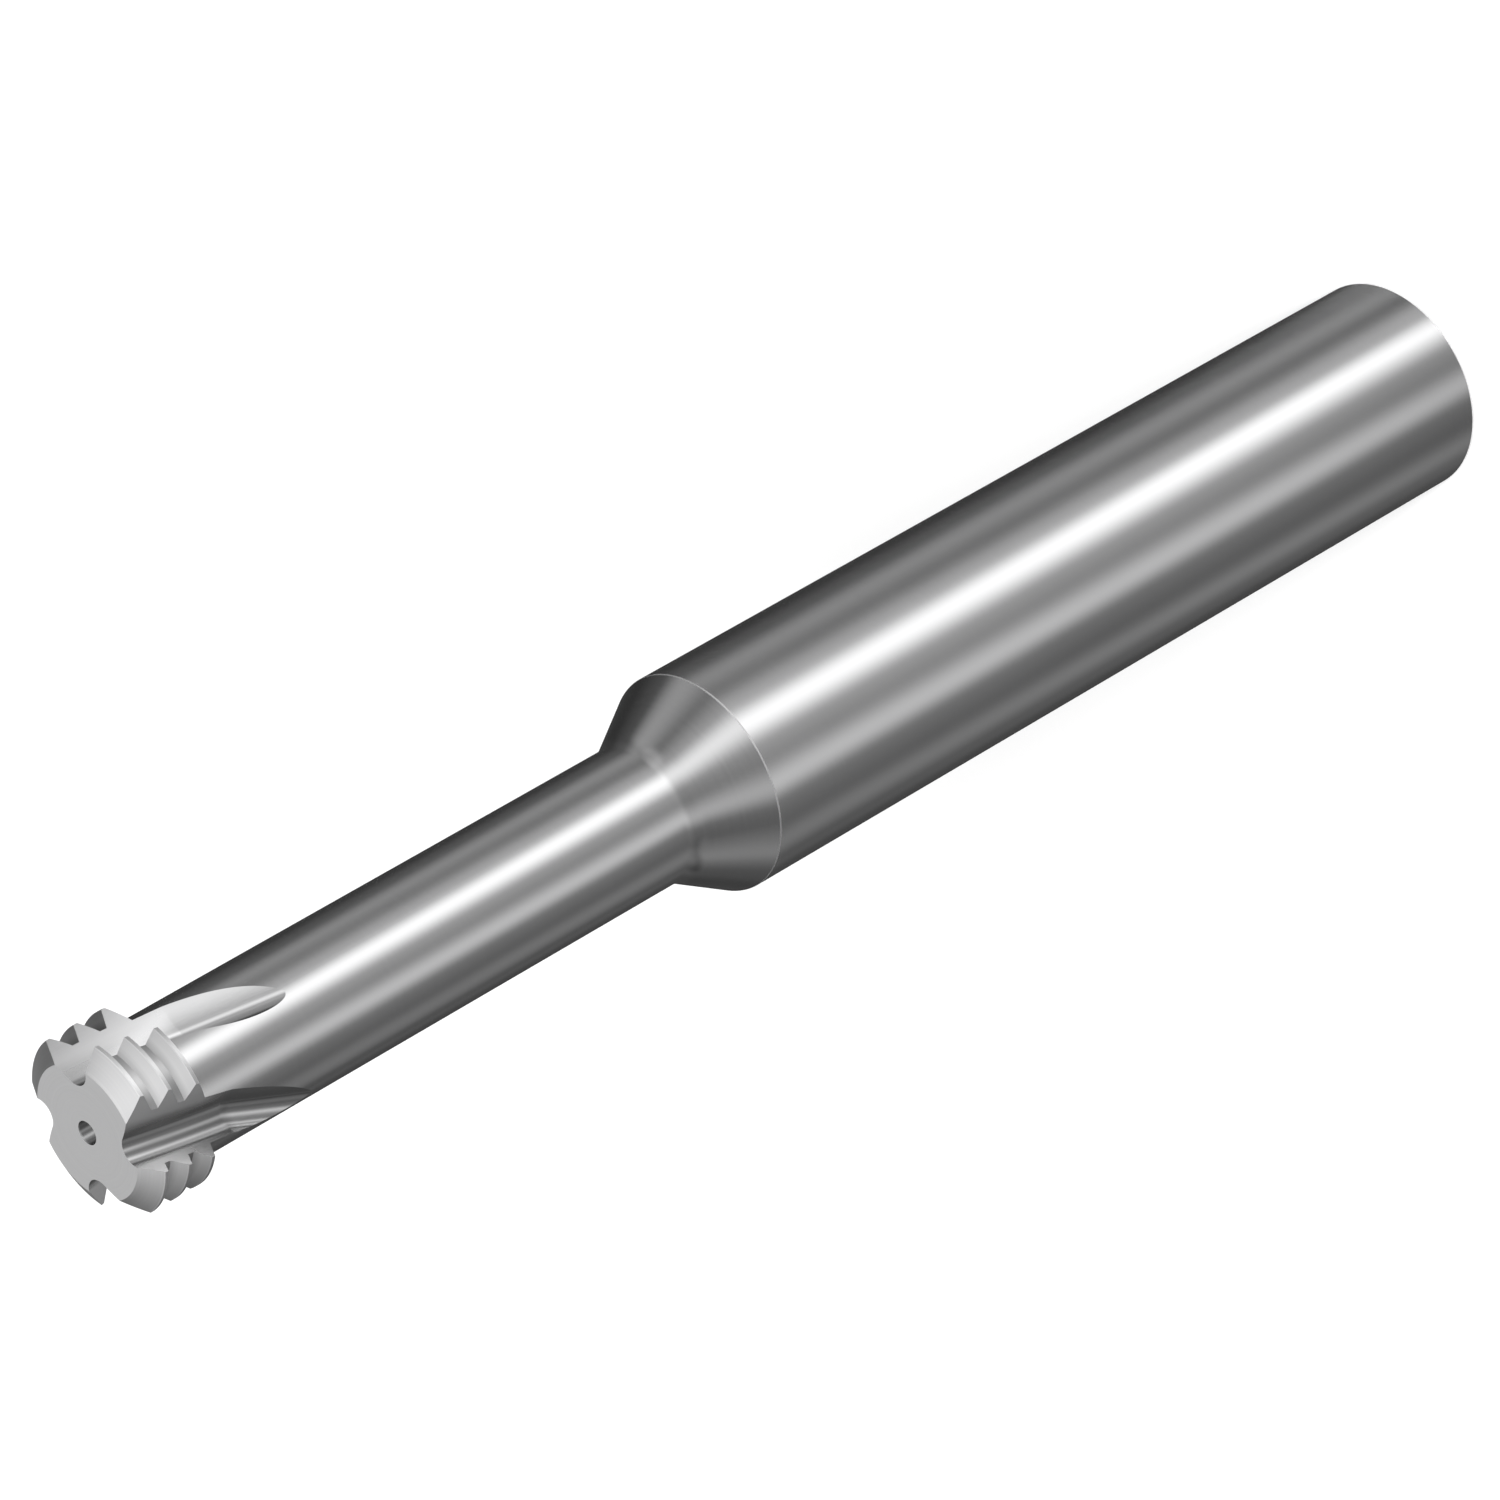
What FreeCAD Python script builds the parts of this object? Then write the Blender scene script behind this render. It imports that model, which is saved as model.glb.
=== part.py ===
"""Solid carbide thread mill: a plain round shank, a cone, a slim neck and a head with
three rows of thread teeth, cut into four lands by right-hand flutes.  One piece.

Millimetres.  The tool stands on its shank end: the origin is the centre of that end face
and +Z runs along the axis to the tip.  Places on the head are given as a depth below the
tip face, because a tool is ground and measured from its tip.
"""
import FreeCAD
import Part
import math
import os

# Shank and neck
OVERALL_LENGTH = 63.0
SHANK_D = 8.0
SHANK_END_CHAMFER = 0.3
SHOULDER_DEPTH = 27.2          # tip face to where the full shank diameter starts
SHOULDER_BLEND_R = 0.15        # broken edge between cone and shank
CONE_HALF_ANGLE = 30.0
NECK_D = 5.1
NECK_FILLET_R = 1.6            # concave blend from neck to cone

# Thread teeth, full rings with no lead
CUTTING_D = 6.4
PITCH = 1.0
TOOTH_ROWS = 3
FLANK_HALF_ANGLE = 30.0        # sixty degree thread
CREST_FLAT = 0.13
TOOTH_HEIGHT = 0.54
TIP_FACE_D = 4.8

# Flutes
FLUTES = 4
HELIX_ANGLE = 15.0             # at the cutting diameter, right hand
RAKE_ANGLE = 9.0
LAND_ANGLE = 41.3              # what each land spans at the cutting diameter
CORE_D = 3.48
FLOOR_R = 0.58                 # concave floor of the flute
HEEL_R = 4.8                   # convex wall from the floor up to the next land
FLUTE_DEPTH = 4.05             # tip face to where the run-out starts
RUNOUT_LENGTH = 4.6
RUNOUT_SLOPE = 0.365           # how far the run-out leaves the axis, for each mm along it
RUNOUT_BEARING = -49.5         # its bearing, from the cutting edge's own radius
FIRST_EDGE_ANGLE = 65.0        # where the first cutting edge meets the tip

# Coolant hole on the axis, right through
COOLANT_D = 0.8
COOLANT_EDGE = 0.03            # broken edge at both mouths

CUT_CLEARANCE = 0.5            # how far a cutting body runs past what it cuts
HELIX_STEPS = 6                # sections that carry the flute round its helix

SHANK_R = SHANK_D / 2
NECK_R = NECK_D / 2
CREST_R = CUTTING_D / 2
ROOT_R = CREST_R - TOOTH_HEIGHT
TIP_FACE_R = TIP_FACE_D / 2
FLANK_SLOPE = math.tan(math.radians(FLANK_HALF_ANGLE))
CONE_SLOPE = math.tan(math.radians(CONE_HALF_ANGLE))
TWIST = math.tan(math.radians(HELIX_ANGLE)) / CREST_R      # radians for each mm of depth


def polar(radius, angle):
    """A point of a cross-section, from its radius and its angle in radians."""
    return FreeCAD.Vector(radius * math.cos(angle), radius * math.sin(angle), 0)


def at_depth(radius, depth):
    """A point of the turned outline."""
    return FreeCAD.Vector(radius, 0, OVERALL_LENGTH - depth)


def rounded(before, corner, after, radius):
    """Arc that rounds a corner of the outline, with its two tangent points."""
    to_before = (before - corner).normalize()
    to_after = (after - corner).normalize()
    half = to_before.getAngle(to_after) / 2
    reach = radius / math.tan(half)
    start = corner + to_before * reach
    end = corner + to_after * reach
    bisector = (to_before + to_after).normalize()
    middle = corner + bisector * (radius / math.sin(half) - radius)
    return start, Part.Arc(start, middle, end).toShape(), end


def tooth_points():
    """Outline of the rows of teeth, from the tip face to the neck."""
    points = [at_depth(TIP_FACE_R, 0)]
    first_crest = (CREST_R - TIP_FACE_R) * FLANK_SLOPE
    for row in range(TOOTH_ROWS):
        crest = first_crest + row * PITCH
        if row > 0:
            points.append(at_depth(ROOT_R, crest - TOOTH_HEIGHT * FLANK_SLOPE))
        points.append(at_depth(CREST_R, crest))
        points.append(at_depth(CREST_R, crest + CREST_FLAT))
        if row < TOOTH_ROWS - 1:
            points.append(at_depth(ROOT_R, crest + CREST_FLAT + TOOTH_HEIGHT * FLANK_SLOPE))
    last_flank_end = crest + CREST_FLAT + (CREST_R - NECK_R) * FLANK_SLOPE
    points.append(at_depth(NECK_R, last_flank_end))
    return points


def turned_body():
    """The whole tool before its flutes are ground."""
    teeth = tooth_points()
    cone_depth = SHOULDER_DEPTH - (SHANK_R - NECK_R) / CONE_SLOPE
    cone_start = at_depth(NECK_R, cone_depth)
    shoulder = at_depth(SHANK_R, SHOULDER_DEPTH)
    chamfer_top = at_depth(SHANK_R, OVERALL_LENGTH - SHANK_END_CHAMFER)
    chamfer_end = at_depth(SHANK_R - SHANK_END_CHAMFER, OVERALL_LENGTH)

    fillet_start, fillet, fillet_end = rounded(teeth[-1], cone_start, shoulder, NECK_FILLET_R)
    blend_start, blend, blend_end = rounded(cone_start, shoulder, chamfer_top, SHOULDER_BLEND_R)

    edges = Part.makePolygon([at_depth(0, 0)] + teeth + [fillet_start]).Edges
    edges.append(fillet)
    edges.append(Part.makeLine(fillet_end, blend_start))
    edges.append(blend)
    shank = [blend_end, chamfer_top, chamfer_end, at_depth(0, OVERALL_LENGTH), at_depth(0, 0)]
    edges += Part.makePolygon(shank).Edges
    outline = Part.Face(Part.Wire(edges))
    return outline.revolve(FreeCAD.Vector(0, 0, 0), FreeCAD.Vector(0, 0, 1), 360)


def circle_crossing(centre_a, radius_a, centre_b, radius_b, side):
    """Where two circles of a cross-section cross, left (1) or right (-1) of the line a to b."""
    across = centre_b - centre_a
    gap = across.Length
    along = (gap ** 2 + radius_a ** 2 - radius_b ** 2) / (2 * gap)
    off = math.sqrt(radius_a ** 2 - along ** 2)
    forward = across.normalize()
    left = FreeCAD.Vector(-forward.y, forward.x, 0)
    return centre_a + forward * along + left * (off * side)


def flute_section():
    """Cross-section of what is ground out of one flute.

    The first cutting edge lies on the +X side, at the cutting diameter.  The section has the
    straight rake face, the concave floor and the convex heel of the next land, and it is
    closed well outside the tool.
    """
    edge = polar(CREST_R, 0)
    rake = math.radians(RAKE_ANGLE)
    outward = polar(1, rake)
    into_flute = polar(1, rake + math.pi / 2)

    # The floor touches the rake face and comes as near to the axis as the core allows.
    offset_edge = edge + into_flute * FLOOR_R
    centre_r = CORE_D / 2 + FLOOR_R
    along = offset_edge.dot(outward)
    inward = along - math.sqrt(along ** 2 - offset_edge.Length ** 2 + centre_r ** 2)
    floor_centre = offset_edge - outward * inward
    rake_foot = floor_centre - into_flute * FLOOR_R

    # The heel passes through the next land's edge and touches the floor from outside.
    heel_edge = polar(CREST_R, math.tau / FLUTES - math.radians(LAND_ANGLE))
    heel_centre = circle_crossing(floor_centre, FLOOR_R + HEEL_R, heel_edge, HEEL_R, 1)
    to_heel = (heel_centre - floor_centre).normalize()
    heel_foot = floor_centre + to_heel * FLOOR_R
    bottom = floor_centre - (into_flute - to_heel).normalize() * FLOOR_R

    # Past the teeth both walls run on, to be closed outside the tool.
    outside_r = CREST_R + CUT_CLEARANCE
    rake_top = edge + outward * CUT_CLEARANCE
    heel_top = circle_crossing(FreeCAD.Vector(0, 0, 0), outside_r, heel_centre, HEEL_R, -1)
    heel_middle = heel_centre + ((heel_foot + heel_top) / 2 - heel_centre).normalize() * HEEL_R

    return [
        Part.makeLine(rake_top, rake_foot),
        Part.Arc(rake_foot, bottom, heel_foot).toShape(),
        Part.Arc(heel_foot, heel_middle, heel_top).toShape(),
        Part.makeLine(heel_top, rake_top),
    ]


def section_at(depth):
    """The flute's cross-section at a depth, turned to follow the helix."""
    wire = Part.Wire(flute_section())
    turn = math.radians(FIRST_EDGE_ANGLE) - TWIST * depth
    wire.rotate(FreeCAD.Vector(0, 0, 0), FreeCAD.Vector(0, 0, 1), math.degrees(turn))
    wire.translate(FreeCAD.Vector(0, 0, OVERALL_LENGTH - depth))
    return wire


def flute_cutter():
    """The body that one flute takes out: a helical stretch, then a straight run-out."""
    start = -CUT_CLEARANCE
    step = (FLUTE_DEPTH - start) / HELIX_STEPS
    depths = [start + step * index for index in range(HELIX_STEPS + 1)]
    helical = Part.makeLoft([section_at(depth) for depth in depths], True)

    edge_turn = math.radians(FIRST_EDGE_ANGLE) - TWIST * FLUTE_DEPTH
    leave = polar(RUNOUT_SLOPE * RUNOUT_LENGTH, edge_turn + math.radians(RUNOUT_BEARING))
    leave.z = -RUNOUT_LENGTH
    straight = Part.Face(section_at(FLUTE_DEPTH)).extrude(leave)
    return helical.fuse(straight)


def coolant_hole():
    """The hole along the axis, with its broken edge at both mouths."""
    radius = COOLANT_D / 2
    mouth = radius + COOLANT_EDGE
    outline = [
        (0, 0),
        (mouth, 0),
        (radius, COOLANT_EDGE),
        (radius, OVERALL_LENGTH - COOLANT_EDGE),
        (mouth, OVERALL_LENGTH),
        (0, OVERALL_LENGTH),
        (0, 0),
    ]
    face = Part.Face(Part.makePolygon([FreeCAD.Vector(r, 0, z) for r, z in outline]))
    return face.revolve(FreeCAD.Vector(0, 0, 0), FreeCAD.Vector(0, 0, 1), 360)


def thread_mill():
    """Turned body, less its flutes and its coolant hole."""
    body = turned_body()
    cutter = flute_cutter()
    for index in range(FLUTES):
        turned = cutter.copy()
        turned.rotate(FreeCAD.Vector(0, 0, 0), FreeCAD.Vector(0, 0, 1), 360 / FLUTES * index)
        body = body.cut(turned)
    return body.cut(coolant_hole())


os.makedirs("parts", exist_ok=True)
tool = thread_mill()
tool.exportStep("parts/thread_mill.step")
print("solids", len(tool.Solids), "valid", tool.isValid(), "volume", round(tool.Volume, 2))
print("box", tool.BoundBox)
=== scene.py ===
"""Ground carbide thread mill standing on its shank end, under a soft studio tent.

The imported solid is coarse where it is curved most, so the same body is ground here again
from the same sizes, finely enough for clean reflections, and stands for the solid.
"""
import math
import bpy
import bmesh
from mathutils import Matrix, Vector


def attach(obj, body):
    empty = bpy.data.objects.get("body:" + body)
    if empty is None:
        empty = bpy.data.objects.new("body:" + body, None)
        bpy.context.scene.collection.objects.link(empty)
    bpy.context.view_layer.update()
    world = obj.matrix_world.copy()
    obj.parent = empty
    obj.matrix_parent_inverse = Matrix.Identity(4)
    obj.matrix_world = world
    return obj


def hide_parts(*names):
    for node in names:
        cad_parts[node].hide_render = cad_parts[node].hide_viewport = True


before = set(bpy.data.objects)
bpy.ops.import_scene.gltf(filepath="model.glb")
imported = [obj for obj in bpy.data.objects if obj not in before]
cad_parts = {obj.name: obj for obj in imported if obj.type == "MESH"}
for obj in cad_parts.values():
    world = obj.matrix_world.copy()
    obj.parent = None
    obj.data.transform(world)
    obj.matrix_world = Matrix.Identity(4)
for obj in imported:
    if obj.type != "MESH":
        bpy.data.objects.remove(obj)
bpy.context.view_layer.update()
MM = 0.001

# Sizes of the solid, in millimetres and degrees
OVERALL_LENGTH = 63.0
SHANK_R = 4.0
SHANK_END_CHAMFER = 0.3
SHOULDER_DEPTH = 27.2
SHOULDER_BLEND_R = 0.15
CONE_HALF_ANGLE = 30.0
NECK_R = 2.55
NECK_FILLET_R = 1.6
CREST_R = 3.2
PITCH = 1.0
TOOTH_ROWS = 3
FLANK_HALF_ANGLE = 30.0
CREST_FLAT = 0.13
TOOTH_HEIGHT = 0.54
TIP_FACE_R = 2.4
FLUTES = 4
HELIX_ANGLE = 15.0
RAKE_ANGLE = 9.0
LAND_ANGLE = 41.3
CORE_R = 1.74
FLOOR_R = 0.58
HEEL_R = 4.8
FLUTE_DEPTH = 4.05
RUNOUT_LENGTH = 4.6
RUNOUT_SLOPE = 0.365
RUNOUT_BEARING = -49.5
FIRST_EDGE_ANGLE = 65.0
COOLANT_R = 0.4
COOLANT_EDGE = 0.03
CUT_CLEARANCE = 0.5

# What follows from the sizes
FLANK_SLOPE = math.tan(math.radians(FLANK_HALF_ANGLE))
CONE_SLOPE = math.tan(math.radians(CONE_HALF_ANGLE))
TWIST = math.tan(math.radians(HELIX_ANGLE)) / CREST_R      # radians for each mm of depth
FIRST_CREST = (CREST_R - TIP_FACE_R) * FLANK_SLOPE
LAST_CREST = FIRST_CREST + (TOOTH_ROWS - 1) * PITCH
NECK_START = LAST_CREST + CREST_FLAT + (CREST_R - NECK_R) * FLANK_SLOPE
MOUTH_R = COOLANT_R + COOLANT_EDGE

# How finely the mesh is divided
ROUND_STEPS = 240
FILLET_STEPS = 14
BLEND_STEPS = 8
RAKE_STEPS = 8
FLOOR_STEPS = 40
HEEL_STEPS = 30
HELIX_STEPS = 60
RUNOUT_LEAD = 0.01             # short first share of the run-out, which keeps its bend crisp
SHARP_ANGLE = 11.0             # faces that meet at more than this keep a sharp edge

# Slots of the mesh, one for each way that a face is finished
SHANK, TEETH, FLUTE, BORE, EDGE, RAKE = range(6)
# painted highlight: the faces of the shoulder blend get a lighter tone, which shows as a bright
# line
SHOULDER_LINE = SHOULDER_BLEND_R / 5       # half the height of the bright line at the shoulder

# Finishes of the carbide, each a tone and a roughness; several tones are painted highlights and
# painted shade, as noted
POLISHED = (0.63, 0.19)
# painted highlight: the bright tone left on the tooth crests and the first rows
TOOTH_CREST_PAINTED_HIGHLIGHT = (0.92, 0.42)
# painted shade: the dark tone down the flanks, from row to row and in the roots between the teeth;
# its roughness is the ground finish
TOOTH_ROOT_PAINTED_SHADE = (0.48, 0.34)
# satin roughness on the flute walls beside the teeth, with a lighter tone there that is painted
# light
FLUTE_SATIN_PAINTED_LIGHT = (0.92, 0.48)
# painted highlight: a tone above that of real carbide on the rake faces at the tip, with a satin
# roughness
RAKE_SATIN_PAINTED_HIGHLIGHT = (1.14, 0.48)
# painted shade: the dark tone inside the coolant hole; the roughness is that of the unground bore
SINTERED_PAINTED_SHADE = (0.30, 0.26)
# painted highlight: the lighter tone of the line at the shoulder, with a honed roughness
HONED_PAINTED_HIGHLIGHT = (0.84, 0.52)
FOOT_SHADE = 0.16              # how much darker the floor of a flute is beside the rake face
BLUE_TINT = 1.006

# Contrast of the grinding marks
FAINT_MARKS = 0.04
FLUTE_MARKS = 0.05
TOOTH_MARKS = 0.10
MARKS_ROUGH = 0.06
MARKS_BUMP = 2.5               # bump strength for each unit of contrast
MARKS_HEIGHT = 0.004

# Noise of the marks and of the clouds: cells in a metre, and how many finer layers
ROUND_GRAIN = 9000.0
ROUND_DETAIL = 4.0
LONG_GRAIN = 11000.0
LONG_DETAIL = 3.0
LONG_STRETCH = 0.05
CLOUD_GRAIN = 420.0
CLOUD_DETAIL = 3.0
CLOUD_TONE = 0.02
CLOUD_ROUGH = 0.04

# Studio
WHITE = (1.0, 1.0, 1.0, 1.0)
VIEW_AZIMUTH = 18.47           # the side that the picture is taken from
FLOOR_SIZE = 3.0
FLOOR_GLOW = 0.16              # lightens the floor to the camera, so that its shadow is faint
WORLD_LEVEL = 0.5
LAMP_LEVEL = 2.8
LAMP_WIDTH = 24
LAMP_TILT = 50
TENT_RADIUS = 1.0
TENT_SEGMENTS = 64
TENT_RINGS = 32
TENT_MIDDLE = (0, 0, OVERALL_LENGTH * MM / 2)
CAMERA_LENS = 184.13
CAMERA_SENSOR = 36.0
CAMERA_NEAR = 0.01
CAMERA_FAR = 20.0
CAMERA_PLACE = (0.2005986, 0.0670807, 0.1846753)
CAMERA_ANGLES = (-34.7938, 44.8476, -26.1063)

# The tent that the polished metal mirrors has upright soft strips between darker panels.
# Each is an azimuth from the camera's side, in degrees, and a level.
STRIPS = (
    (-180, 0.05),
    (-150, 0.07),
    (-128, 0.14),
    (-104, 0.31),
    (-80, 0.16),
    (-58, 0.22),
    (-38, 0.82),
    (-14, 0.36),
    (0, 0.45),
    (26, 1.75),
    (48, 0.55),
    (70, 0.22),
    (92, 0.37),
    (116, 0.12),
    (145, 0.05),
    (180, 0.05),
)
# Towards the ground the strips lie elsewhere.
LOW_STRIPS = (
    (-180, 0.30),
    (-150, 0.22),
    (-128, 0.14),
    (-87, 0.10),
    (-55, 0.10),
    (-32, 0.40),
    (-16, 0.12),
    (4, 0.16),
    (21, 0.46),
    (38, 0.06),
    (59, 0.84),
    (80, 0.02),
    (96, 0.30),
    (122, 0.70),
    (160, 0.50),
    (180, 0.30),
)
# Heights on the tent, from -1 to 1: the low strips end and the upper ones begin, and further
# up the upper ones fade to a share of their level.
SEAM = (-0.74, -0.662)
FADE = (-0.45, -0.2)
FADED_SHARE = 0.75
# Soft boxes, each an azimuth, a height and a half width in degrees, and a level.  A negative
# level is a dark flag.
SOFT_BOXES = (
    (90, 86, 62, 0.72),
    (180, 36, 26, 0.46),
    (-142, 42, 26, 0.18),
    (-90, 4, 22, 0.10),
    (88, 4, 27, 0.16),
    (176, 4, 28, 0.13),
    (62, -12, 24, 0.22),
    (146, -67, 25, 4.2),
    (33, -48, 11, 0.65),
    (-112, -22, 22, -0.08),
)
BOX_CORE = 0.15                # share of a box's half width that has the full level


def link(tree, start, end):
    tree.links.new(start, end)


def feed(tree, socket, value):
    """Sets an input to a number, or to the output of another node."""
    if isinstance(value, (int, float)):
        socket.default_value = value
    else:
        link(tree, value, socket)


def calc(tree, operation, *values):
    """A Math node on numbers or outputs of other nodes."""
    node = tree.nodes.new("ShaderNodeMath")
    node.operation = operation
    for socket, value in zip(node.inputs, values):
        feed(tree, socket, value)
    return node.outputs[0]


def times(tree, first, second):
    return calc(tree, "MULTIPLY", first, second)


def added(tree, total, *values):
    """The sum of two or more values."""
    for value in values:
        total = calc(tree, "ADD", total, value)
    return total


def ramp(tree, value, low, high, to_low=0.0, to_high=1.0):
    """Smooth step from one level to another."""
    node = tree.nodes.new("ShaderNodeMapRange")
    node.interpolation_type = "SMOOTHSTEP"
    link(tree, value, node.inputs["Value"])
    node.inputs["From Min"].default_value = low
    node.inputs["From Max"].default_value = high
    node.inputs["To Min"].default_value = to_low
    node.inputs["To Max"].default_value = to_high
    return node.outputs["Result"]


def by_depth(tree, z, start, end, to_start=0.0, to_end=1.0):
    """Smooth step between two depths below the tip, in millimetres."""
    tip = OVERALL_LENGTH * MM
    return ramp(tree, z, tip - start * MM, tip - end * MM, to_start, to_end)


def by_radius(tree, radius, start, end, to_start=0.0, to_end=1.0):
    """Smooth step between two distances from the axis, in millimetres."""
    return ramp(tree, radius, start * MM, end * MM, to_start, to_end)


def split(tree, vector):
    node = tree.nodes.new("ShaderNodeSeparateXYZ")
    link(tree, vector, node.inputs[0])
    return node.outputs


def joined(tree, *values):
    node = tree.nodes.new("ShaderNodeCombineXYZ")
    for socket, value in zip(node.inputs, values):
        feed(tree, socket, value)
    return node.outputs[0]


def noise(tree, vector, scale, detail):
    node = tree.nodes.new("ShaderNodeTexNoise")
    node.inputs["Scale"].default_value = scale
    node.inputs["Detail"].default_value = detail
    link(tree, vector, node.inputs["Vector"])
    return node.outputs["Fac"]


def radius_of(tree, x, y):
    """Distance from the axis."""
    return calc(tree, "SQRT", added(tree, times(tree, x, x), times(tree, y, y)))


def new_material(name):
    """An empty material, its node tree and the socket for its shader."""
    material = bpy.data.materials.new(name)
    material.use_nodes = True
    tree = material.node_tree
    tree.nodes.clear()
    return material, tree, tree.nodes.new("ShaderNodeOutputMaterial").inputs["Surface"]


def round_marks(tree, x, y, z):
    """Grinding marks that run round the axis."""
    place = joined(tree, radius_of(tree, x, y), 0.0, z)
    return noise(tree, place, ROUND_GRAIN, ROUND_DETAIL)


def long_marks(tree, x, y, z):
    """Grinding marks that run along the flute, so they turn with its helix."""
    node = tree.nodes.new("ShaderNodeVectorRotate")
    node.rotation_type = "Z_AXIS"
    link(tree, joined(tree, x, y, times(tree, z, LONG_STRETCH)), node.inputs["Vector"])
    link(tree, times(tree, z, -TWIST / MM), node.inputs["Angle"])
    return noise(tree, node.outputs[0], LONG_GRAIN, LONG_DETAIL)


def near_teeth_satin_and_painted_light(tree, x, y, z):
    """1 on the flute walls beside the teeth, fading out into the floor and the run-out; there they
    are satin ground and painted lighter in tone.
    """
    ahead = by_depth(tree, z, start=4.3, end=2.8)
    return times(tree, ahead, by_radius(tree, radius_of(tree, x, y), start=1.9, end=2.5))


def tooth_finish_and_painted_shade(tree, x, y, z):
    """Painted shade: least on the crests, which are left as painted bright lines, and more from
    row to row and down to the roots between the teeth.
    """
    radius = radius_of(tree, x, y)
    crest = times(
        tree,
        by_radius(tree, radius, start=3.15, end=3.19),
        by_depth(tree, z, start=0.6, end=1.5, to_start=1.0, to_end=0.35))
    flank = times(
        tree,
        by_depth(tree, z, start=0.3, end=2.6, to_start=0.28, to_end=0.60),
        calc(tree, "SUBTRACT", 1.0, crest))
    root = times(
        tree,
        by_depth(tree, z, start=0.45, end=0.65),
        by_radius(tree, radius, start=2.66, end=2.92, to_start=0.4, to_end=0.0))
    return added(tree, flank, root)


def rake_front_painted_highlight(tree, x, y, z):
    """1 on the rake faces at the tip, fading out towards the floor and the neck: a painted
    highlight there, with a satin roughness.
    """
    ahead = by_depth(tree, z, start=3.2, end=0.4)
    return times(tree, ahead, by_radius(tree, radius_of(tree, x, y), start=2.15, end=2.45))


def rake_foot_painted_shade(tree, x, y, z):
    """Where painted shade darkens the floor: 1 beside the rake faces, 0 at the bottom of the floor
    and in the run-out.
    """
    ahead = by_depth(tree, z, start=4.5, end=4.05)
    return times(tree, ahead, by_radius(tree, radius_of(tree, x, y), start=1.745, end=1.8))


def carbide(name, marks, contrast, finish, second=None, second_where=None, shade_where=None):
    """Ground carbide in one finish, which turns into a second one in some places; the second tone
    is a painted highlight on the rakes and flute walls and painted shade on the teeth, and
    shade_where adds painted shade.

    It has grinding marks and slight clouds in the polish.
    """
    material, tree, surface = new_material(name)
    coords = tree.nodes.new("ShaderNodeTexCoord").outputs["Object"]
    x, y, z = split(tree, coords)
    grind = marks(tree, x, y, z)
    cloud = noise(tree, coords, CLOUD_GRAIN, CLOUD_DETAIL)

    tone, rough = finish
    level = added(
        tree,
        times(tree, grind, contrast),
        times(tree, cloud, CLOUD_TONE),
        tone - contrast / 2 - CLOUD_TONE / 2)
    polish = added(
        tree,
        times(tree, grind, MARKS_ROUGH),
        times(tree, cloud, CLOUD_ROUGH),
        rough - MARKS_ROUGH / 2 - CLOUD_ROUGH / 2)
    if second_where:
        share = second_where(tree, x, y, z)
        level = added(tree, level, times(tree, share, second[0] - tone))
        polish = added(tree, polish, times(tree, share, second[1] - rough))
    # painted shade: darker where shade_where is 1
    if shade_where:
        level = added(tree, level, times(tree, shade_where(tree, x, y, z), -FOOT_SHADE))

    shader = tree.nodes.new("ShaderNodeBsdfPrincipled")
    shader.inputs["Metallic"].default_value = 1.0
    colour = joined(tree, level, level, times(tree, level, BLUE_TINT))
    link(tree, colour, shader.inputs["Base Color"])
    link(tree, polish, shader.inputs["Roughness"])
    bump = tree.nodes.new("ShaderNodeBump")
    bump.inputs["Strength"].default_value = contrast * MARKS_BUMP
    bump.inputs["Distance"].default_value = MARKS_HEIGHT * MM
    link(tree, grind, bump.inputs["Height"])
    link(tree, bump.outputs[0], shader.inputs["Normal"])
    link(tree, shader.outputs[0], surface)
    return material


def finishes():
    """The materials of the tool, in the order of its slots."""
    shank = carbide("ground_shank", round_marks, FAINT_MARKS, POLISHED)
    # the teeth's tone is painted shade, darkest in the roots, with painted bright crests
    teeth = carbide(
        "ground_teeth_painted_shade", round_marks, TOOTH_MARKS, TOOTH_CREST_PAINTED_HIGHLIGHT, TOOTH_ROOT_PAINTED_SHADE, tooth_finish_and_painted_shade)
    # the flute walls beside the teeth are painted lighter
    flute = carbide(
        "ground_flutes_painted_light", long_marks, FLUTE_MARKS, POLISHED, FLUTE_SATIN_PAINTED_LIGHT, near_teeth_satin_and_painted_light)
    # the coolant hole's dark tone is painted shade
    bore = carbide("sintered_bore_painted_shade", round_marks, FAINT_MARKS, SINTERED_PAINTED_SHADE)
    edge = carbide("honed_edge_painted_highlight", round_marks, FAINT_MARKS, HONED_PAINTED_HIGHLIGHT)
    # the rake faces carry a painted highlight at the tip and painted shade at their foot
    rake = carbide(
        "ground_rakes_painted_light_and_shade", long_marks, FLUTE_MARKS, POLISHED, RAKE_SATIN_PAINTED_HIGHLIGHT, rake_front_painted_highlight, rake_foot_painted_shade)
    return shank, teeth, flute, bore, edge, rake


def polar(radius, angle):
    return Vector((radius * math.cos(angle), radius * math.sin(angle)))


def arc(centre, start, end, steps):
    """Points along the shorter arc from start to end, both included."""
    first = start - centre
    turn = first.angle_signed(end - centre)
    points = []
    for index in range(steps + 1):
        points.append(centre + Matrix.Rotation(-turn * index / steps, 2) @ first)
    return points


def rounded(before, corner, after, radius, steps):
    """The arc that rounds a corner of an outline."""
    to_before = (before - corner).normalized()
    to_after = (after - corner).normalized()
    half = to_before.angle(to_after) / 2
    reach = radius / math.tan(half)
    centre = corner + (to_before + to_after).normalized() * (radius / math.sin(half))
    return arc(centre, corner + to_before * reach, corner + to_after * reach, steps)


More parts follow.
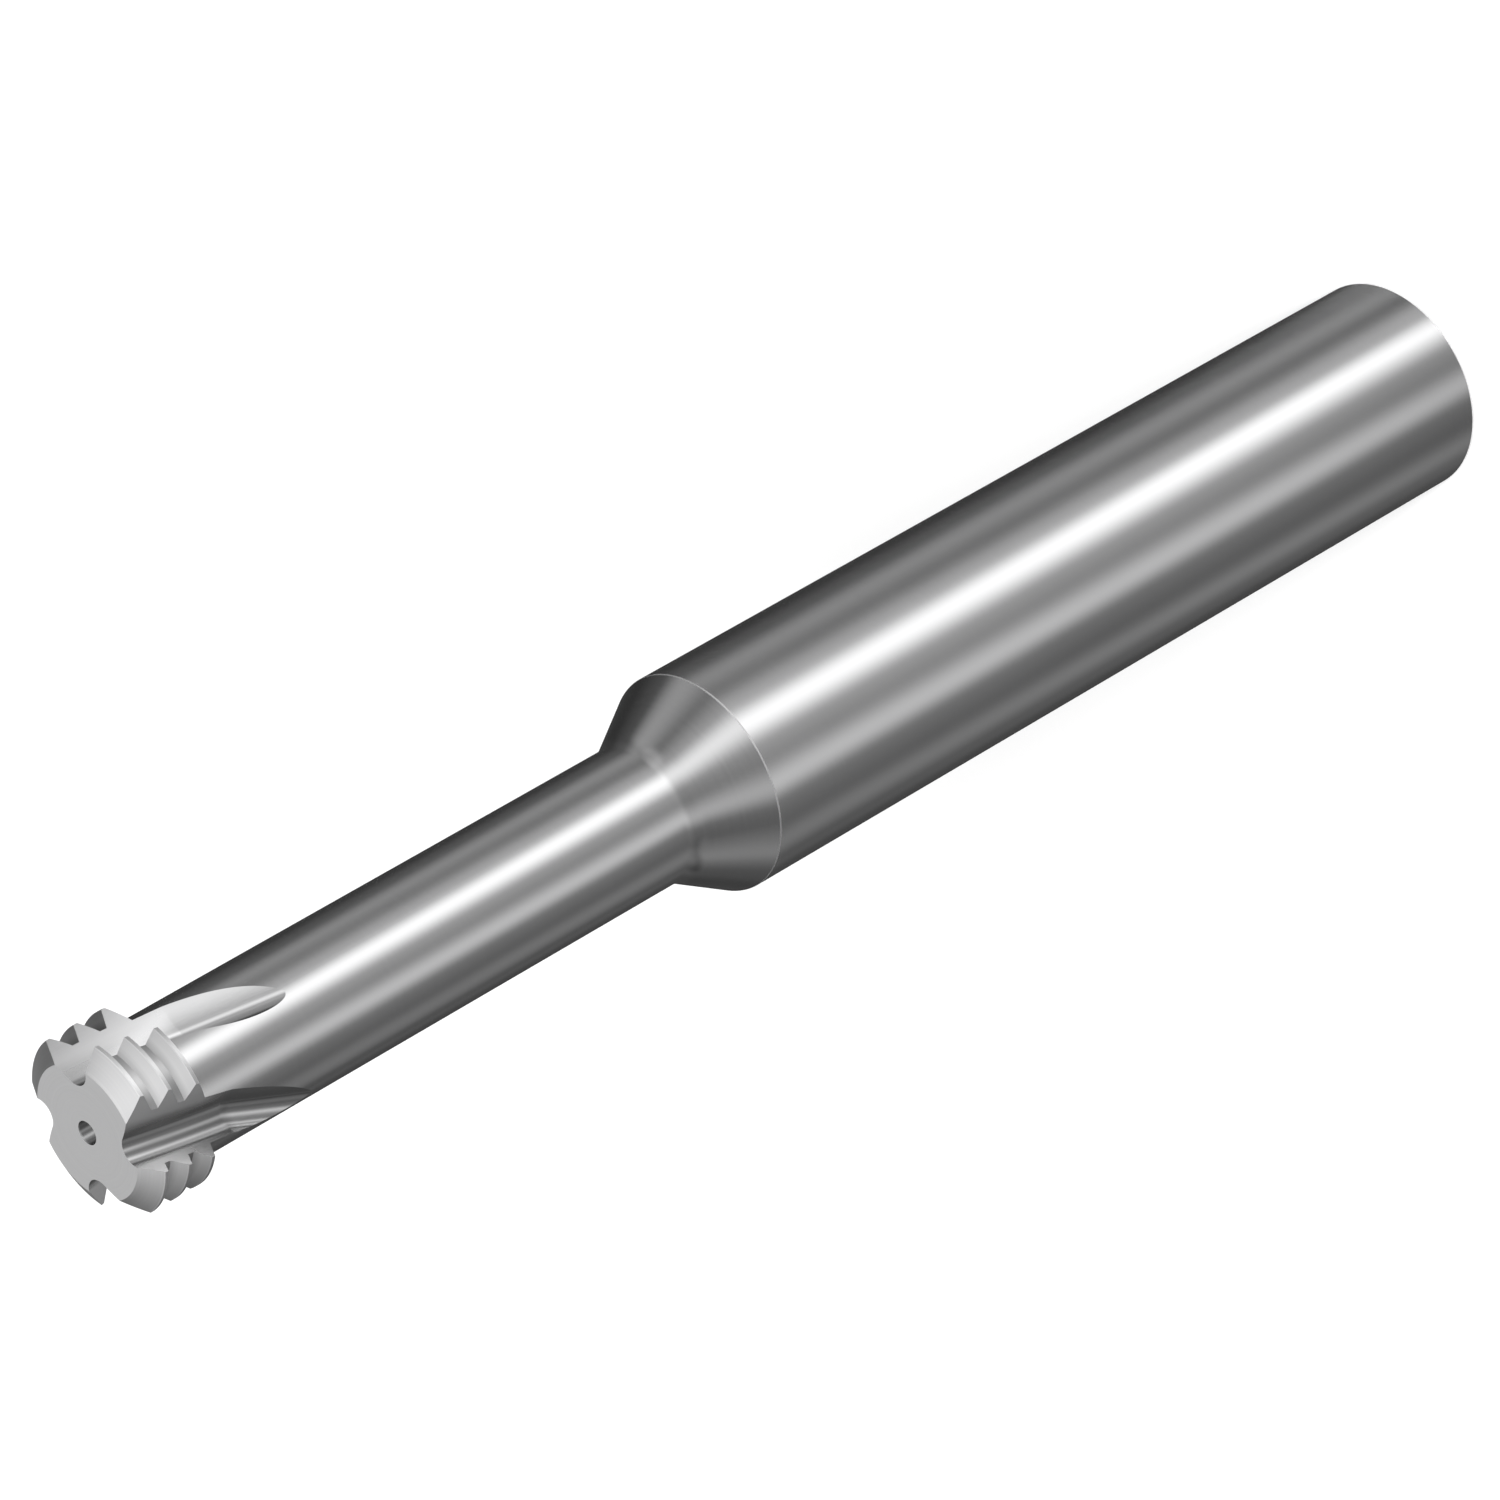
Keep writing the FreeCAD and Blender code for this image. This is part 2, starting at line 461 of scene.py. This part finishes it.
def turned_outline():
    """Radius and depth of the turned body, from the rim of the tip face to the shank end."""
    root_r = CREST_R - TOOTH_HEIGHT
    points = [(TIP_FACE_R, 0)]
    for row in range(TOOTH_ROWS):
        crest = FIRST_CREST + row * PITCH
        if row > 0:
            points.append((root_r, crest - TOOTH_HEIGHT * FLANK_SLOPE))
        points += [(CREST_R, crest), (CREST_R, crest + CREST_FLAT)]
        if row < TOOTH_ROWS - 1:
            points.append((root_r, crest + CREST_FLAT + TOOTH_HEIGHT * FLANK_SLOPE))
    points.append((NECK_R, NECK_START))
    line = [Vector(point) for point in points]
    cone_start = Vector((NECK_R, SHOULDER_DEPTH - (SHANK_R - NECK_R) / CONE_SLOPE))
    shoulder = Vector((SHANK_R, SHOULDER_DEPTH))
    shank_end = Vector((SHANK_R, OVERALL_LENGTH - SHANK_END_CHAMFER))
    line += rounded(line[-1], cone_start, shoulder, NECK_FILLET_R, FILLET_STEPS)
    line += rounded(cone_start, shoulder, shank_end, SHOULDER_BLEND_R, BLEND_STEPS)
    line += [shank_end, Vector((SHANK_R - SHANK_END_CHAMFER, OVERALL_LENGTH))]
    return line


def add_rows(form, rows):
    """Joins rows of equally many points, each row a closed loop, into a closed body."""
    rows = [[form.verts.new(point) for point in row] for row in rows]
    count = len(rows[0])
    form.faces.new(rows[0])
    for upper, lower in zip(rows, rows[1:]):
        for index in range(count):
            after = (index + 1) % count
            form.faces.new((upper[index], upper[after], lower[after], lower[index]))
    form.faces.new(list(reversed(rows[-1])))


def add_revolved(form, line):
    """Adds a body turned from radius and depth points, with flat ends."""
    turns = [math.tau * index / ROUND_STEPS for index in range(ROUND_STEPS)]
    rows = []
    for radius, depth in line:
        height = OVERALL_LENGTH - depth
        rows.append([(radius * math.cos(turn), radius * math.sin(turn), height) for turn in turns])
    add_rows(form, rows)


def circle_crossing(centre_a, radius_a, centre_b, radius_b, side):
    """Where two circles cross, left (1) or right (-1) of the line a to b."""
    across = centre_b - centre_a
    gap = across.length
    along = (gap ** 2 + radius_a ** 2 - radius_b ** 2) / (2 * gap)
    off = math.sqrt(radius_a ** 2 - along ** 2)
    forward = across.normalized()
    return centre_a + forward * along + Vector((-forward.y, forward.x)) * (off * side)


def flute_section():
    """Closed outline of one flute: rake face, concave floor, convex heel."""
    edge = polar(CREST_R, 0)
    rake = math.radians(RAKE_ANGLE)
    outward = polar(1, rake)
    into_flute = polar(1, rake + math.pi / 2)
    offset_edge = edge + into_flute * FLOOR_R
    centre_r = CORE_R + FLOOR_R
    along = offset_edge.dot(outward)
    inward = along - math.sqrt(along ** 2 - offset_edge.length ** 2 + centre_r ** 2)
    floor_centre = offset_edge - outward * inward
    foot = floor_centre - into_flute * FLOOR_R
    heel_edge = polar(CREST_R, math.tau / FLUTES - math.radians(LAND_ANGLE))
    heel_centre = circle_crossing(floor_centre, FLOOR_R + HEEL_R, heel_edge, HEEL_R, 1)
    heel_foot = floor_centre + (heel_centre - floor_centre).normalized() * FLOOR_R
    rake_top = edge + outward * CUT_CLEARANCE
    outside_r = CREST_R + CUT_CLEARANCE
    heel_top = circle_crossing(Vector((0, 0)), outside_r, heel_centre, HEEL_R, -1)
    section = [rake_top.lerp(foot, index / RAKE_STEPS) for index in range(RAKE_STEPS)]
    section += arc(floor_centre, foot, heel_foot, FLOOR_STEPS)
    section += arc(heel_centre, heel_foot, heel_top, HEEL_STEPS)[1:]
    return section


def add_flute(form, turn):
    """Adds the body that one flute takes out: a helical stretch, then a straight run-out."""
    section = flute_section()
    first_turn = math.radians(FIRST_EDGE_ANGLE)
    reach = FLUTE_DEPTH + CUT_CLEARANCE
    places = []
    for index in range(HELIX_STEPS + 1):
        depth = reach * index / HELIX_STEPS - CUT_CLEARANCE
        places.append((depth, first_turn - TWIST * depth, Vector((0, 0))))
    last_turn = places[-1][1]
    leave = polar(RUNOUT_SLOPE * RUNOUT_LENGTH, last_turn + math.radians(RUNOUT_BEARING))
    for share in (RUNOUT_LEAD, 1.0):
        places.append((FLUTE_DEPTH + RUNOUT_LENGTH * share, last_turn, leave * share))
    rows = []
    for depth, angle, shift in places:
        row = []
        for point in section:
            moved = Matrix.Rotation(angle, 2) @ point + shift
            moved = Matrix.Rotation(turn, 2) @ moved
            row.append((moved.x, moved.y, OVERALL_LENGTH - depth))
        rows.append(row)
    add_rows(form, rows)


def add_bore(form):
    """Adds the body that the coolant hole takes out, wider at both mouths."""
    wide = MOUTH_R + CUT_CLEARANCE
    beyond = COOLANT_EDGE + CUT_CLEARANCE
    add_revolved(form, (
        (wide, -beyond),
        (MOUTH_R, 0),
        (COOLANT_R, COOLANT_EDGE),
        (COOLANT_R, OVERALL_LENGTH - COOLANT_EDGE),
        (MOUTH_R, OVERALL_LENGTH),
        (wide, OVERALL_LENGTH + beyond),
    ))


def add_object(name, form):
    """Turns a form into an object of the scene."""
    mesh = bpy.data.meshes.new(name)
    form.to_mesh(mesh)
    form.free()
    made = bpy.data.objects.new(name, mesh)
    bpy.context.scene.collection.objects.link(made)
    return made


def finish_of(face):
    """The slot of a face, which comes out of the cut as shank or as flute."""
    middle = face.center
    depth = OVERALL_LENGTH - middle.z
    if face.material_index == FLUTE:
        if math.hypot(middle.x, middle.y) < MOUTH_R:
            return BORE
        looks_ahead = middle.x * face.normal.y > middle.y * face.normal.x
        return RAKE if looks_ahead else FLUTE
    if depth < NECK_START:
        return TEETH
    if abs(depth - SHOULDER_DEPTH) < SHOULDER_LINE:
        return EDGE
    return SHANK


def add_blank():
    """The turned body before its flutes are ground."""
    form = bmesh.new()
    add_revolved(form, turned_outline())
    bmesh.ops.recalc_face_normals(form, faces=form.faces)
    return add_object("ground_thread_mill", form)


def add_cutter():
    """All that is taken out of the blank: its flutes and its coolant hole."""
    form = bmesh.new()
    for index in range(FLUTES):
        add_flute(form, math.tau * index / FLUTES)
    add_bore(form)
    bmesh.ops.recalc_face_normals(form, faces=form.faces)
    return add_object("cutter", form)


def cut_out(body, cutter):
    """Takes the cutter out of the body.  The faces that it leaves are marked as flute."""
    for material in finishes():
        body.data.materials.append(material)
        cutter.data.materials.append(material)
    for face in cutter.data.polygons:
        face.material_index = FLUTE
    cut = body.modifiers.new("cut", "BOOLEAN")
    cut.operation = "DIFFERENCE"
    cut.solver = "EXACT"
    cut.object = cutter
    depsgraph = bpy.context.evaluated_depsgraph_get()
    shape = bpy.data.meshes.new_from_object(body.evaluated_get(depsgraph))
    body.modifiers.clear()
    body.data = shape
    bpy.data.objects.remove(cutter)


def ground_tool():
    """The whole tool as one fine mesh, its faces told apart by how they are finished."""
    body = add_blank()
    cut_out(body, add_cutter())
    for face in body.data.polygons:
        face.material_index = finish_of(face)
    body.data.transform(Matrix.Scale(MM, 4))
    body.data.shade_smooth()
    body.data.set_sharp_from_angle(angle=math.radians(SHARP_ANGLE))
    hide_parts("thread_mill")
    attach(body, "root")
    body.visible_glossy = False        # it mirrors the studio and not itself, as in the picture


def make_floor():
    """A white floor, which keeps a faint shadow and stays out of the reflections."""
    form = bmesh.new()
    bmesh.ops.create_grid(form, x_segments=1, y_segments=1, size=FLOOR_SIZE)
    floor = add_object("floor", form)
    floor.visible_glossy = False
    material, tree, surface = new_material("pale_floor")
    paper = tree.nodes.new("ShaderNodeBsdfDiffuse")
    paper.inputs["Color"].default_value = WHITE
    glow = tree.nodes.new("ShaderNodeEmission")
    rays = tree.nodes.new("ShaderNodeLightPath").outputs
    link(tree, times(tree, rays["Is Camera Ray"], FLOOR_GLOW), glow.inputs["Strength"])
    both = tree.nodes.new("ShaderNodeAddShader")
    link(tree, paper.outputs[0], both.inputs[0])
    link(tree, glow.outputs[0], both.inputs[1])
    link(tree, both.outputs[0], surface)
    floor.data.materials.append(material)


def make_world():
    """Plain and even light, white wherever it is seen."""
    world = bpy.data.worlds.new("studio")
    bpy.context.scene.world = world
    world.use_nodes = True
    tree = world.node_tree
    rays = tree.nodes.new("ShaderNodeLightPath").outputs
    through = calc(tree, "MAXIMUM", rays["Is Glossy Ray"], rays["Is Transmission Ray"])
    seen = calc(tree, "MAXIMUM", rays["Is Camera Ray"], through)
    sky = tree.nodes["Background"]
    sky.inputs["Color"].default_value = WHITE
    strength = added(tree, WORLD_LEVEL, times(tree, seen, 1.0 - WORLD_LEVEL))
    link(tree, strength, sky.inputs["Strength"])


def make_lamp():
    """A soft lamp from the camera's side."""
    data = bpy.data.lights.new("soft_lamp", "SUN")
    data.angle = math.radians(LAMP_WIDTH)
    data.energy = LAMP_LEVEL
    lamp = bpy.data.objects.new("soft_lamp", data)
    bpy.context.scene.collection.objects.link(lamp)
    lamp.rotation_euler = (0, math.radians(LAMP_TILT), math.radians(VIEW_AZIMUTH))
    lamp.visible_glossy = False


def panels(tree, share, strips):
    """A row of upright strips, from where a direction lies round the tent."""
    node = tree.nodes.new("ShaderNodeValToRGB")
    node.color_ramp.interpolation = "EASE"
    elements = node.color_ramp.elements
    elements.remove(elements[1])
    for index, (azimuth, level) in enumerate(strips):
        place = (azimuth + 180) / 360
        element = elements[0] if index == 0 else elements.new(place)
        element.position = place
        element.color = (level, level, level, 1.0)
    link(tree, share, node.inputs[0])
    return node.outputs[0]


def tent_direction(tree):
    """Where a point of the tent lies from its middle, turned to the camera's side."""
    position = tree.nodes.new("ShaderNodeNewGeometry").outputs["Position"]
    centred = tree.nodes.new("ShaderNodeVectorMath")
    centred.operation = "SUBTRACT"
    centred.inputs[1].default_value = TENT_MIDDLE
    link(tree, position, centred.inputs[0])
    turn = tree.nodes.new("ShaderNodeVectorRotate")
    turn.rotation_type = "Z_AXIS"
    turn.inputs["Angle"].default_value = math.radians(-VIEW_AZIMUTH)
    link(tree, centred.outputs[0], turn.inputs["Vector"])
    unit = tree.nodes.new("ShaderNodeVectorMath")
    unit.operation = "NORMALIZE"
    link(tree, turn.outputs[0], unit.inputs[0])
    return unit.outputs[0]


def soft_box(tree, direction, azimuth, height, width, level):
    """A round patch of light that fades out towards its rim."""
    azimuth, height, width = [math.radians(angle) for angle in (azimuth, height, width)]
    across = polar(math.cos(height), azimuth)
    node = tree.nodes.new("ShaderNodeVectorMath")
    node.operation = "DOT_PRODUCT"
    node.inputs[1].default_value = (across.x, across.y, math.sin(height))
    link(tree, direction, node.inputs[0])
    rim = math.cos(width)
    core = math.cos(width * BOX_CORE)
    return ramp(tree, node.outputs["Value"], rim, core, 0.0, level)


def tent_material():
    material, tree, surface = new_material("tent")
    direction = tent_direction(tree)
    x, y, z = split(tree, direction)
    share = added(tree, calc(tree, "DIVIDE", calc(tree, "ARCTAN2", y, x), math.tau), 0.5)
    upper = times(tree, panels(tree, share, STRIPS), ramp(tree, z, *FADE, 1.0, FADED_SHARE))
    lower = panels(tree, share, LOW_STRIPS)
    up = ramp(tree, z, *SEAM)
    down = calc(tree, "SUBTRACT", 1.0, up)
    total = added(tree, times(tree, upper, up), times(tree, lower, down))
    for box in SOFT_BOXES:
        total = added(tree, total, soft_box(tree, direction, *box))
    light = tree.nodes.new("ShaderNodeEmission")
    link(tree, total, light.inputs["Strength"])
    link(tree, light.outputs[0], surface)
    material.cycles.emission_sampling = "NONE"
    return material


def make_tent():
    """The tent round the tool, which only mirrored rays see."""
    form = bmesh.new()
    bmesh.ops.create_uvsphere(
        form, u_segments=TENT_SEGMENTS, v_segments=TENT_RINGS, radius=TENT_RADIUS)
    tent = add_object("tent", form)
    tent.location = TENT_MIDDLE
    tent.data.materials.append(tent_material())
    tent.visible_camera = False
    tent.visible_diffuse = False
    tent.visible_shadow = False
    tent.visible_transmission = False


def make_camera():
    """A long lens at the picture's viewing angle."""
    data = bpy.data.cameras.new("camera")
    data.lens = CAMERA_LENS
    data.sensor_width = CAMERA_SENSOR
    data.clip_start = CAMERA_NEAR
    data.clip_end = CAMERA_FAR
    camera = bpy.data.objects.new("camera", data)
    bpy.context.scene.collection.objects.link(camera)
    camera.location = CAMERA_PLACE
    camera.rotation_euler = [math.radians(angle) for angle in CAMERA_ANGLES]
    return camera


ground_tool()
make_floor()
make_world()
make_lamp()
make_tent()
bpy.context.scene.camera = make_camera()
bpy.context.scene.view_settings.view_transform = "Standard"
